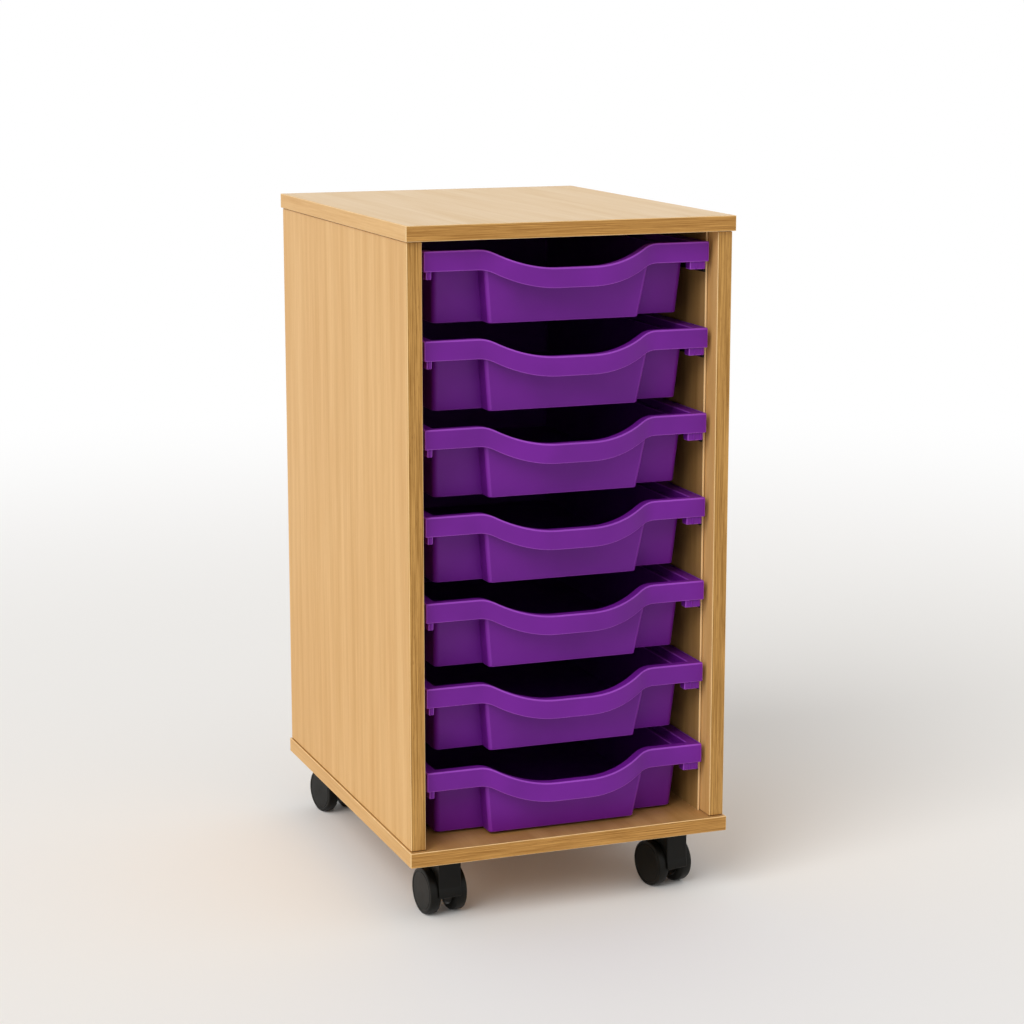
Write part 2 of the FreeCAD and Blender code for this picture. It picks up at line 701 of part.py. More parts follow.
def make_plate_form():
    """Steel plate with cut corners."""
    body = new_body("plate_form")
    half, cut = "(Sizes.plate_size / 2)", "Sizes.plate_chamfer"
    outline = straight(
        (f"-{half}", f"-{half} + {cut}"),
        (f"-{half} + {cut}", f"-{half}"),
        (f"{half} - {cut}", f"-{half}"),
        (half, f"-{half} + {cut}"),
        (half, f"{half} - {cut}"),
        (f"{half} - {cut}", half),
        (f"-{half} + {cut}", half),
        (f"-{half}", f"{half} - {cut}"),
    )
    sketch = draw(sketch_on(body, "plate_outline", "XY_Plane"), outline)
    pad(body, sketch, "Sizes.plate_thickness", flip=True)
    return body


def make_pin_form():
    """Swivel pin, fixed to the plate."""
    body = new_body("pin_form")
    top = "-Sizes.plate_thickness"
    circle = circles(sketch_on(body, "pin_circle", "XY_Plane", top), [("0", "0")], "Sizes.pivot_diameter")
    pad(body, circle, "Sizes.pivot_length", flip=True)
    return body


# The wheels' treads and the wells around them have flats, since there are eight of each.
WHEEL_SIDES = 36
WELL_SIDES = 12


def around(x, y, inner, sides):
    """Path of a regular polygon outside a circle of a given radius."""
    corners = [f"(360 / {sides} * {number})" for number in range(sides)]
    reach = f"{inner} / cos(180 / {sides})"
    return straight(*((f"{x} + {reach} * cos({turn})", f"{y} + {reach} * sin({turn})") for turn in corners))


def make_hood_form():
    """Hood that arches over the wheels' inner halves, with the web between them that takes the pin, and its stub
    axles."""
    body = new_body("hood_form")
    trail = "Sizes.castor_trail"
    inner = "(Sizes.wheel_diameter / 2 + Sizes.castor_gap)"
    outer = f"({inner} + Sizes.hood_wall)"
    overall = "(Sizes.wheel_spacing + 2 * Sizes.wheel_width - 2 * Sizes.hood_side)"
    web = "(Sizes.wheel_spacing - 2 * Sizes.castor_gap)"
    neck_top = "(-Sizes.plate_thickness - Sizes.castor_gap)"
    boss = "Sizes.axle_boss / 2"
    low = f"({AXLE_Z} - Sizes.hood_lip)"
    chord = f"sqrt({outer} * {outer} - Sizes.hood_lip * Sizes.hood_lip)"
    sweep = "Sizes.hood_sweep"

    profile = [
        (f"{trail} - {chord}", low, None),
        (trail, f"{AXLE_Z} - {boss}", ("left", boss)),
        (f"{trail} + {boss}", AXLE_Z, None),
        (f"{trail} + {outer} * cos({sweep})", f"{AXLE_Z} + {outer} * sin({sweep})", ("left", outer)),
        (trail, f"{AXLE_Z} + {outer}", ("left", outer)),
    ]
    shell = draw(sketch_on(body, "hood_profile", "YZ_Plane"), profile)
    pad(body, shell, overall, both_ways=True)
    side, half = f"({overall} / 2)", "(Sizes.hood_neck / 2)"
    neck = draw(sketch_on(body, "hood_neck", "XY_Plane", neck_top), box_path(f"-{side}", f"-{half}", side, half))
    pad(body, neck, f"{neck_top} - {AXLE_Z}", flip=True)
    for hand_name, hand in HANDS:
        well = sketch_on(body, f"wheel_well_{hand_name}", "YZ_Plane", f"{hand} * {web} / 2")
        draw(well, around(trail, AXLE_Z, inner, WELL_SIDES))
        pocket(body, well, overall, flip=hand > 0)
    bore = sketch_on(body, "hood_pin_bore", "XY_Plane", neck_top)
    circles(bore, [("0", "0")], "Sizes.pivot_diameter + 2 * Sizes.running_fit")
    pocket(body, bore, "Sizes.pivot_length")
    axle = circles(sketch_on(body, "hood_axle", "YZ_Plane"), [(trail, AXLE_Z)], "Sizes.axle_diameter")
    reach = "(Sizes.wheel_width - Sizes.wheel_skin - Sizes.castor_gap)"
    pad(body, axle, f"Sizes.wheel_spacing + 2 * {reach}", both_ways=True)
    return body


def make_wheel_form():
    """Right-hand wheel: a moulded disc with a closed outer face, open on the inside for the axle."""
    body = new_body("wheel_form")
    inner = "(Sizes.wheel_spacing / 2)"
    flats = f"(Sizes.wheel_diameter / 2 * cos(180 / {WHEEL_SIDES}))"
    tread = sketch_on(body, "wheel_tread", "YZ_Plane", inner)
    pad(body, draw(tread, around("0", "0", flats, WHEEL_SIDES)), "Sizes.wheel_width")
    bore = sketch_on(body, "wheel_bore", "YZ_Plane", inner)
    circles(bore, [("0", "0")], "Sizes.axle_diameter + 2 * Sizes.running_fit")
    pocket(body, bore, "Sizes.wheel_width - Sizes.wheel_skin", flip=True)
    return body


def make_castors():
    """Four castors, each turned as it was left standing."""
    plate, pin, hood = make_plate_form(), make_pin_form(), make_hood_form()
    right = placed("wheel_right_form", make_wheel_form(), "0", "Sizes.castor_trail", AXLE_Z)
    left = mirrored("wheel_left_form", right, Vector(1, 0, 0))
    parts, pins = [], []
    for corner, place in CASTORS.items():
        x, y = castor_axis(*place)
        parts.append(placed(f"castor_{corner}_plate", plate, x, y, BASE_Z))
        pins.append(placed(f"castor_{corner}_pin", pin, x, y, BASE_Z))
        for name, form in (("hood", hood), ("wheel_left", left), ("wheel_right", right)):
            turn = f"Sizes.turn_{corner}"
            parts.append(placed(f"castor_{corner}_{name}", form, x, y, BASE_Z, turn=turn))
    return parts + [group("castor_pins", pins)]


def make_unit():
    """Every sub-part of the unit."""
    parts = [make_top(), make_base(), make_back(), make_biscuits()]
    parts += [board_edging("top_edging", CEILING_Z), board_edging("base_edging", BASE_Z)]
    for hand_name, hand in HANDS:
        parts += [make_side(hand_name, hand), make_side_edging(hand_name, hand), make_liner(hand_name, hand)]
    return parts + make_runners() + make_trays() + make_castors()


def check(parts):
    """Stop if a feature failed or a sub-part has no sound shape."""
    failed = [item.Name for item in doc.Objects if {"Invalid", "Error"} & set(item.State)]
    unsound = [part.Label for part in parts if part.Shape.isNull() or not part.Shape.isValid()]
    if failed or unsound:
        raise ValueError(f"failed: {failed}, not valid: {unsound}")


unit = make_unit()
doc.recompute()
check(unit)
os.makedirs("parts", exist_ok=True)
for part in unit:
    part.Shape.exportStep(f"parts/{part.Label}.step")
print(f"{len(unit)} sub-parts")
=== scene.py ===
"""Looks of the classroom tray storage unit: beech-effect boards, moulded trays and twin-wheel castors."""

import json
import logging
import math
from collections.abc import Callable, Iterable, Sequence
from dataclasses import dataclass
from enum import Enum

import bmesh
import bpy
from mathutils import Matrix, Vector


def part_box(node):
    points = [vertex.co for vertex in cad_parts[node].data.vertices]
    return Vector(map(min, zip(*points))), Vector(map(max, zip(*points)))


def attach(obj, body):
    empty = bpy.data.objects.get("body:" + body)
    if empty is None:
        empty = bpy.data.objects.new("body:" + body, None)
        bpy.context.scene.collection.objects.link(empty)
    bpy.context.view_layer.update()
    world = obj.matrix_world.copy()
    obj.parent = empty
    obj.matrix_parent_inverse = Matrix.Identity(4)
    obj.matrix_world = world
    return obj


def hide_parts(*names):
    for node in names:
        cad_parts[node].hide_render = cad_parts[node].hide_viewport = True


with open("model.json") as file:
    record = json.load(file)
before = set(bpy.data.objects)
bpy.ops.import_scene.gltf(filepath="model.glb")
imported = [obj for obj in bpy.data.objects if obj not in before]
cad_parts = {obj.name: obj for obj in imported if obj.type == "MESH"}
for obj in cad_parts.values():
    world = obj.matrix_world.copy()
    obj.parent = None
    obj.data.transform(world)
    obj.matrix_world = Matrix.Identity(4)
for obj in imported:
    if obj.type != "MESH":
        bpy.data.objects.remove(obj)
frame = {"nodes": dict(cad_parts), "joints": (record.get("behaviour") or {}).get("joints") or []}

MM = 0.001
HANDS = {"left": -1, "right": 1}
WELD = 0.001 * MM  # Points nearer than this are one point
FLAT_BEND = math.radians(0.5)  # Faces that bend less than this are one face
TURNED_CREASE = math.radians(28)  # Turned solids show their sharper edges as edges

log = logging.getLogger("tray_unit")

Colour = tuple[float, float, float, float]
Profile = Sequence[tuple[float, float]]


class Axis(Enum):
    """Direction that a board's grain runs in."""

    ALONG_X = 0
    ALONG_Y = 1
    ALONG_Z = 2


class Ease(Enum):
    """How far an edge is rounded over, in millimetres."""

    BOARD = 0.4
    ARRIS = 0.6
    MOULDED = 0.9


# Nodes and meshes


def srgb(hex_value: str) -> Colour:
    """Linear colour of an sRGB hex value.

    Args:
        hex_value: Colour as six hex digits after a hash sign.

    Returns:
        Linear red, green, blue and an alpha of 1.
    """
    parts = [int(hex_value[i:i + 2], 16) / 255 for i in (1, 3, 5)]
    red, green, blue = (c / 12.92 if c <= 0.04045 else ((c + 0.055) / 1.055) ** 2.4 for c in parts)
    return red, green, blue, 1.0


def add_node(tree: bpy.types.NodeTree, kind: str, inputs: dict | None = None,
             **settings: object) -> bpy.types.Node:
    """Add a node with its settings, and give its inputs a constant or a link.

    Args:
        tree: Tree of a material, a world or a geometry group.
        kind: Node's type name.
        inputs: Constant or output socket for each input, by the input's name or number.
        **settings: Properties of the node itself.

    Returns:
        The new node.
    """
    node = tree.nodes.new(kind)
    for name, setting in settings.items():
        setattr(node, name, setting)
    for key, source in (inputs or {}).items():
        if isinstance(source, bpy.types.NodeSocket):
            tree.links.new(source, node.inputs[key])
        else:
            node.inputs[key].default_value = source
    return node


def new_material(name: str) -> tuple[bpy.types.Material, bpy.types.NodeTree]:
    """Make an empty material.

    Args:
        name: Name of the material.

    Returns:
        The material and its tree.
    """
    material = bpy.data.materials.new(name)
    material.use_nodes = True
    material.node_tree.nodes.clear()
    return material, material.node_tree


def new_piece(name: str, mesh: bpy.types.Mesh) -> bpy.types.Object:
    """Make an object of a mesh and link it into the scene.

    Args:
        name: Name of the object.
        mesh: Its mesh.

    Returns:
        The new object.
    """
    piece = bpy.data.objects.new(name, mesh)
    bpy.context.scene.collection.objects.link(piece)
    return piece


def baked(source: bpy.types.Object) -> bpy.types.Object:
    """Turn what an object's modifiers give into a plain mesh.

    Args:
        source: Object with modifiers, which is removed.

    Returns:
        Plain object of the same name.
    """
    bpy.context.view_layer.update()
    evaluated = source.evaluated_get(bpy.context.evaluated_depsgraph_get())
    mesh = bpy.data.meshes.new_from_object(evaluated)
    name = source.name
    bpy.data.objects.remove(source)
    mesh.name = name
    return new_piece(name, mesh)


def part_solids(shell: bmesh.types.BMesh) -> None:
    """Part solids that touch along an edge, so that each is closed in itself.

    Args:
        shell: Welded mesh of one or more solids.
    """
    touching = {edge for edge in shell.edges if len(edge.link_faces) > 2}
    rest = list(shell.faces) if touching else []
    while rest:
        solid = {rest[0]}
        while grown := {other for face in solid for edge in set(face.edges) - touching
                        for other in edge.link_faces} - solid:
            solid |= grown
        rest = [face for face in rest if face not in solid]
        bmesh.ops.split(shell, geom=list(solid))


def softened(node: str, name: str, ease: Ease, crease: float = 30.0,
             nudge: Callable[[Vector], Vector] | None = None) -> bpy.types.Object:
    """Copy of a CAD node with its outer edges rounded over.

    Its second material slot is for the rounded edges.

    Args:
        node: CAD node to copy.
        name: Name of the new piece.
        ease: Size of the rounding.
        crease: Smallest angle of an edge that is rounded, in degrees.
        nudge: Where each point of the copy goes, if its shape differs a little.

    Returns:
        The new piece, in the node's place.
    """
    mesh = frame["nodes"][node].data.copy()
    if "custom_normal" in mesh.attributes:
        mesh.attributes.remove(mesh.attributes["custom_normal"])
    shell = bmesh.new()
    shell.from_mesh(mesh)
    bmesh.ops.remove_doubles(shell, verts=shell.verts, dist=WELD)
    bmesh.ops.dissolve_limit(shell, angle_limit=FLAT_BEND, verts=shell.verts, edges=shell.edges)
    part_solids(shell)
    if nudge is not None:
        for vert in shell.verts:
            vert.co = nudge(vert.co)
    shell.normal_update()
    for face in shell.faces:
        face.smooth = True
    weight = shell.edges.layers.float.new("bevel_weight_edge")
    for edge in shell.edges:
        bend = edge.calc_face_angle_signed(0.0)
        edge[weight] = float(bend > math.radians(crease))
        edge.smooth = abs(bend) < math.radians(crease)
    shell.to_mesh(mesh)
    shell.free()
    mesh.materials.clear()
    for _ in range(2):
        mesh.materials.append(None)
    piece = new_piece(name, mesh)
    bevel = piece.modifiers.new("rounding", "BEVEL")
    bevel.limit_method = "WEIGHT"
    bevel.width = ease.value * MM
    bevel.segments = 2
    bevel.material = 1
    bevel.use_clamp_overlap = False
    bevel.miter_outer = "MITER_ARC"
    piece.modifiers.new("flat faces stay flat", "WEIGHTED_NORMAL").keep_sharp = True
    return baked(piece)


def turned(name: str, profile: Profile, steps: int, place: Matrix) -> bpy.types.Object:
    """Solid of revolution about its own X axis.

    Args:
        name: Name of the new piece.
        profile: Points from axis to axis, each as its place along X and its radius, in millimetres.
        steps: Number of steps round the axis.
        place: Where the solid's own frame lies.

    Returns:
        The new piece, closed at both ends.
    """
    shell = bmesh.new()
    rings = []
    angles = [2 * math.pi * step / steps for step in range(steps)]
    for along, radius in profile:
        rings.append([
            shell.verts.new((along * MM, radius * MM * math.cos(angle), radius * MM * math.sin(angle)))
            for angle in (angles if radius else angles[:1])
        ])
    for ring, following in zip(rings, rings[1:]):
        for step in range(steps):
            ahead = (step + 1) % steps
            corners = [ring[step % len(ring)], ring[ahead % len(ring)],
                       following[ahead % len(following)], following[step % len(following)]]
            shell.faces.new(list(dict.fromkeys(corners)))
    bmesh.ops.recalc_face_normals(shell, faces=shell.faces)
    bmesh.ops.transform(shell, matrix=place, verts=shell.verts)
    mesh = bpy.data.meshes.new(name)
    shell.to_mesh(mesh)
    shell.free()
    mesh.shade_smooth()
    mesh.set_sharp_from_angle(angle=TURNED_CREASE)
    return new_piece(name, mesh)


def dress(piece: bpy.types.Object, material: bpy.types.Material,
          edges: bpy.types.Material | None = None) -> None:
    """Give a piece or a CAD node its material.

    Args:
        piece: Piece or node.
        material: Material of its faces.
        edges: Material of its rounded edges, where that is another one.
    """
    if not piece.material_slots:
        piece.data.materials.append(material)
    for slot in piece.material_slots:
        slot.material = material
    if edges is not None:
        piece.material_slots[1].material = edges


def settle(piece: bpy.types.Object, body: str, nodes: Iterable[str] = ()) -> None:
    """Let a finished piece ride on its body.

    Args:
        piece: Finished piece.
        body: CAD body that it moves with.
        nodes: CAD nodes that it stands for.
    """
    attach(piece, body)
    for node in nodes:
        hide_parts(node)
    log.info("%s: %d faces on %s", piece.name, len(piece.data.polygons), body)


# Finishes


@dataclass(frozen=True)
class BeechFoil:
    """Beech-effect melamine foil on chipboard, with long soft streaks, short fine flecks and a satin sheen.

    Attributes:
        name: Name of the material.
        light: Colour of the pale streaks.
        dark: Colour of the darker streaks.
        grain: Direction of the grain.
        contrast: How strongly the fine streaks show, from 0 to 1.
        streak: Width of a fine streak, in millimetres.
        spread: How far the streaks' tones reach from their middle; small where they are crisp.
        roughness: Roughness of the foil.
        band: Width and length of the broad bands, in millimetres.
        streak_length: Length of a fine streak, in millimetres.
        fleck: Width and length of a ray's fleck, in millimetres. A beech ray is narrower, but wouldn't show.
    """

    name: str
    light: str
    dark: str
    grain: Axis
    contrast: float = 0.35
    streak: float = 1.6
    spread: float = 0.14
    roughness: float = 0.45
    band: tuple[float, float] = (16.0, 420.0)
    streak_length: float = 70.0
    fleck: tuple[float, float] = (0.9, 9.0)

    def stretched(self, tree: bpy.types.NodeTree, width: float, length: float) -> bpy.types.NodeSocket:
        """Object coordinates scaled so that one unit is a streak's width, or its length along the grain.

        Args:
            tree: Tree of the material.
            width: Width of a streak, in millimetres.
            length: Length of a streak, in millimetres.

        Returns:
            Socket of the scaled coordinates.
        """
        scale = [1 / (width * MM)] * 3
        scale[self.grain.value] = 1 / (length * MM)
        place = add_node(tree, "ShaderNodeTexCoord")
        mapping = add_node(tree, "ShaderNodeMapping", {"Vector": place.outputs["Object"], "Scale": scale})
        return mapping.outputs[0]

    def material(self) -> bpy.types.Material:
        """Build the material.

        Returns:
            The new material.
        """
        material, tree = new_material(self.name)
        bands = add_node(tree, "ShaderNodeTexNoise", {
            "Vector": self.stretched(tree, *self.band), "Scale": 1.0, "Detail": 3.0, "Roughness": 0.6})
        streaks = add_node(tree, "ShaderNodeTexNoise", {
            "Vector": self.stretched(tree, self.streak, self.streak_length), "Scale": 1.0, "Detail": 4.0,
            "Roughness": 0.65})
        flecks = add_node(tree, "ShaderNodeTexNoise", {
            "Vector": self.stretched(tree, *self.fleck), "Scale": 1.0, "Detail": 2.0, "Roughness": 0.5})
        blend = add_node(tree, "ShaderNodeMix", {
            0: self.contrast, "A": bands.outputs["Fac"], "B": streaks.outputs["Fac"]}, data_type="FLOAT")
        tone = add_node(tree, "ShaderNodeValToRGB", {"Fac": blend.outputs[0]})
        tone.color_ramp.elements[0].position = 0.5 - self.spread
        tone.color_ramp.elements[0].color = srgb(self.dark)
        tone.color_ramp.elements[1].position = 0.5 + self.spread
        tone.color_ramp.elements[1].color = srgb(self.light)
        rays = add_node(tree, "ShaderNodeMapRange", {
            "Value": flecks.outputs["Fac"], "From Min": 0.6, "From Max": 0.78, "To Min": 0.0,
            "To Max": 0.35 * self.contrast + 0.05})
        colour = add_node(tree, "ShaderNodeMix", {
            0: rays.outputs[0], 6: tone.outputs["Color"], 7: srgb(self.dark),
        }, data_type="RGBA", blend_type="MULTIPLY")
        sheen = add_node(tree, "ShaderNodeMapRange", {
            "Value": streaks.outputs["Fac"],
            "To Min": self.roughness + 0.06, "To Max": self.roughness - 0.06})
        relief = add_node(tree, "ShaderNodeBump", {
            "Strength": 0.25, "Distance": 0.05 * MM, "Height": flecks.outputs["Fac"]})
        shader = add_node(tree, "ShaderNodeBsdfPrincipled", {
            "Base Color": colour.outputs[2], "Roughness": sheen.outputs[0], "IOR": 1.5,
            "Specular IOR Level": 0.25, "Normal": relief.outputs[0]})
        add_node(tree, "ShaderNodeOutputMaterial", {"Surface": shader.outputs[0]})
        return material


@dataclass(frozen=True)
class MouldedPlastic:
    """Injection-moulded plastic: one colour through and through, with the mould's fine spark-eroded grain.

    Attributes:
        name: Name of the material.
        colour: Colour of the plastic.
        shade: Colour where the flow of the melt left it a little darker.
        roughness: Roughness of the moulded face.
        grain: Width of the mould's grain, in millimetres.
        depth: Depth of the grain, in millimetres.
        ior: Index of refraction.
        gloss: Share of the reflection that the grain leaves, where 0.5 is all of it.
        flow: Changes of tone over a metre, from the flow of the melt.
        wear: Changes of sheen over a metre, from handling.
    """

    name: str
    colour: str
    shade: str
    roughness: float
    grain: float = 0.8
    depth: float = 0.02
    ior: float = 1.49
    gloss: float = 0.22
    flow: float = 14.0
    wear: float = 60.0

    def material(self) -> bpy.types.Material:
        """Build the material.

        Returns:
            The new material.
        """
        material, tree = new_material(self.name)
        place = add_node(tree, "ShaderNodeTexCoord").outputs["Object"]
        flow = add_node(tree, "ShaderNodeTexNoise", {
            "Vector": place, "Scale": self.flow, "Detail": 2.0, "Roughness": 0.5})
        spark = add_node(tree, "ShaderNodeTexNoise", {
            "Vector": place, "Scale": 1 / (self.grain * MM), "Detail": 2.0, "Roughness": 0.6})
        wear = add_node(tree, "ShaderNodeTexNoise", {
            "Vector": place, "Scale": self.wear, "Detail": 5.0, "Roughness": 0.7})
        colour = add_node(tree, "ShaderNodeValToRGB", {"Fac": flow.outputs["Fac"]})
        colour.color_ramp.elements[0].position = 0.35
        colour.color_ramp.elements[0].color = srgb(self.shade)
        colour.color_ramp.elements[1].position = 0.6
        colour.color_ramp.elements[1].color = srgb(self.colour)
        sheen = add_node(tree, "ShaderNodeMapRange", {
            "Value": wear.outputs["Fac"], "From Min": 0.35, "From Max": 0.7,
            "To Min": self.roughness - 0.05, "To Max": self.roughness + 0.08})
        relief = add_node(tree, "ShaderNodeBump", {
            "Strength": 0.3, "Distance": self.depth * MM, "Height": spark.outputs["Fac"]})
        shader = add_node(tree, "ShaderNodeBsdfPrincipled", {
            "Base Color": colour.outputs["Color"], "Roughness": sheen.outputs[0], "IOR": self.ior,
            "Specular IOR Level": self.gloss, "Normal": relief.outputs[0]})
        add_node(tree, "ShaderNodeOutputMaterial", {"Surface": shader.outputs[0]})
        return material


@dataclass(frozen=True)
class ZincPlate:
    """Bright zinc plate on pressed steel: a pale blue-grey metal with a faintly cloudy sheen.

    Attributes:
        name: Name of the material.
        colour: Colour of the metal.
        roughness: Middle of the roughness.
    """

    name: str = "bright_zinc_plated_steel"
    colour: str = "#B4B7BC"
    roughness: float = 0.34

    def material(self) -> bpy.types.Material:
        """Build the material.

        Returns:
            The new material.
        """
        material, tree = new_material(self.name)
        place = add_node(tree, "ShaderNodeTexCoord").outputs["Object"]
        cloud = add_node(tree, "ShaderNodeTexNoise", {"Vector": place, "Scale": 180.0, "Detail": 4.0})
        sheen = add_node(tree, "ShaderNodeMapRange", {
            "Value": cloud.outputs["Fac"], "To Min": self.roughness - 0.1, "To Max": self.roughness + 0.1})
        shader = add_node(tree, "ShaderNodeBsdfPrincipled", {
            "Base Color": srgb(self.colour), "Metallic": 1.0, "Roughness": sheen.outputs[0]})
        add_node(tree, "ShaderNodeOutputMaterial", {"Surface": shader.outputs[0]})
        return material


# Geometry that repeats or follows a path


def new_geometry_group(name: str, sockets: dict[str, str]) -> tuple[bpy.types.NodeTree, bpy.types.Node]:
    """Empty geometry group with a geometry input and output.

    Args:
        name: Name of the group.
        sockets: Type of each further input, by its name.

    Returns:
        The group and its input node.
    """
    tree = bpy.data.node_groups.new(name, "GeometryNodeTree")
    tree.interface.new_socket("Geometry", in_out="INPUT", socket_type="NodeSocketGeometry")
    tree.interface.new_socket("Geometry", in_out="OUTPUT", socket_type="NodeSocketGeometry")
    for label, kind in sockets.items():
        tree.interface.new_socket(label, in_out="INPUT", socket_type=kind)
    return tree, add_node(tree, "NodeGroupInput")


def grow(name: str, start: bpy.types.Mesh, tree: bpy.types.NodeTree, values: dict) -> bpy.types.Object:
    """Plain piece that a geometry group makes from a starting mesh.

    Args:
        name: Name of the new piece.
        start: Mesh that goes into the group.
        tree: Geometry group.
        values: Value of each further input, by its name.

    Returns:
        The new piece.
    """
    piece = new_piece(name, start)
    modifier = piece.modifiers.new("growth", "NODES")
    modifier.node_group = tree
    for item in tree.interface.items_tree:
        if item.in_out == "INPUT" and item.name in values:
            modifier[item.identifier] = values[item.name]
    return baked(piece)


def points_mesh(name: str, points: Sequence[Vector], looped: bool = False) -> bpy.types.Mesh:
    """Mesh of loose points, or of a closed line through them.

    Args:
        name: Name of the mesh.
        points: Points, in metres.
        looped: Whether a line joins them.

    Returns:
        The new mesh.
    """
    edges = [(index, (index + 1) % len(points)) for index in range(len(points))] if looped else []
    mesh = bpy.data.meshes.new(name)
    mesh.from_pydata(points, edges, [])
    return mesh


def repeat_group() -> bpy.types.NodeTree:
    """Group that puts a copy of an object, turned one way, on every point, as on a row of screws.

    Returns:
        The new group.
    """
    tree, given = new_geometry_group("copies_on_points", {
        "Pattern": "NodeSocketObject", "Turn": "NodeSocketRotation", "Finish": "NodeSocketMaterial"})
    pattern = add_node(tree, "GeometryNodeObjectInfo", {"Object": given.outputs["Pattern"]})
    copies = add_node(tree, "GeometryNodeInstanceOnPoints", {
        "Points": given.outputs["Geometry"], "Instance": pattern.outputs["Geometry"],
        "Rotation": given.outputs["Turn"]})
    solid = add_node(tree, "GeometryNodeRealizeInstances", {"Geometry": copies.outputs[0]})
    finish = add_node(tree, "GeometryNodeSetMaterial", {
        "Geometry": solid.outputs[0], "Material": given.outputs["Finish"]})
    add_node(tree, "NodeGroupOutput", {"Geometry": finish.outputs[0]})
    return tree


def bead_group() -> bpy.types.NodeTree:
    """Group that runs a round bead along a line, as the moulded edge on a tray's rim.

    Returns:
        The new group.
    """
    tree, given = new_geometry_group("bead_on_line", {
        "Width": "NodeSocketFloat", "Corners": "NodeSocketInt", "Finish": "NodeSocketMaterial"})
    path = add_node(tree, "GeometryNodeMeshToCurve", {"Mesh": given.outputs["Geometry"]})
    half = add_node(tree, "ShaderNodeMath", {0: given.outputs["Width"], 1: 0.5}, operation="MULTIPLY")
    section = add_node(tree, "GeometryNodeCurvePrimitiveCircle", {
        "Resolution": given.outputs["Corners"], "Radius": half.outputs[0]})
    bead = add_node(tree, "GeometryNodeCurveToMesh", {
        "Curve": path.outputs[0], "Profile Curve": section.outputs[0], "Fill Caps": True})
    solid = add_node(tree, "GeometryNodeRealizeInstances", {"Geometry": bead.outputs[0]})
    smooth = add_node(tree, "GeometryNodeSetShadeSmooth", {
        "Geometry": solid.outputs[0], "Shade Smooth": True})
    finish = add_node(tree, "GeometryNodeSetMaterial", {
        "Geometry": smooth.outputs[0], "Material": given.outputs["Finish"]})
    add_node(tree, "NodeGroupOutput", {"Geometry": finish.outputs[0]})
    return tree


@dataclass(frozen=True)
class Screw:
    """Zinc-plated pan-head screw; only its head shows.

    Attributes:
        head: Diameter of the head, in millimetres.
        height: Height of the head, in millimetres.
        socket: Width of the driver's socket, in millimetres.
        sunk: How deep the head sits in what it holds, in millimetres.
    """

    head: float
    height: float
    socket: float = 2.4
    sunk: float = 0.2

    def pattern(self, name: str) -> bpy.types.Object:
        """Make one head, which stands up along +X from the origin.

        Args:
            name: Name of the head.

        Returns:
            The head.
        """
        radius, top = self.head / 2, self.height
        profile = [(-self.sunk, 0), (-self.sunk, radius), (0.35 * top, radius), (0.75 * top, 0.86 * radius),
                   (top, 0.55 * radius), (top, self.socket / 2), (0.45 * top, 0.36 * self.socket),
                   (0.4 * top, 0)]
        return turned(name, profile, 16, Matrix.Identity(4))

    def drive(self, name: str, spots: Sequence[Vector], turn: tuple[float, float, float],
              zinc: bpy.types.Material) -> None:
        """Put a head on every spot, as one piece that stays on the carcass.

        Args:
            name: Name of the piece.
            spots: Middles of the heads' feet, in metres.
            turn: How the heads are turned from +X, in radians about X, Y and Z.
            zinc: Finish of the heads.
        """
        head = self.pattern(f"{name}_head")
        screws = grow(name, points_mesh(f"{name}_spots", spots), repeat_group(), {
            "Pattern": head, "Turn": turn, "Finish": zinc})
        bpy.data.objects.remove(head)
        settle(screws, "carcass")


# Sub-assemblies


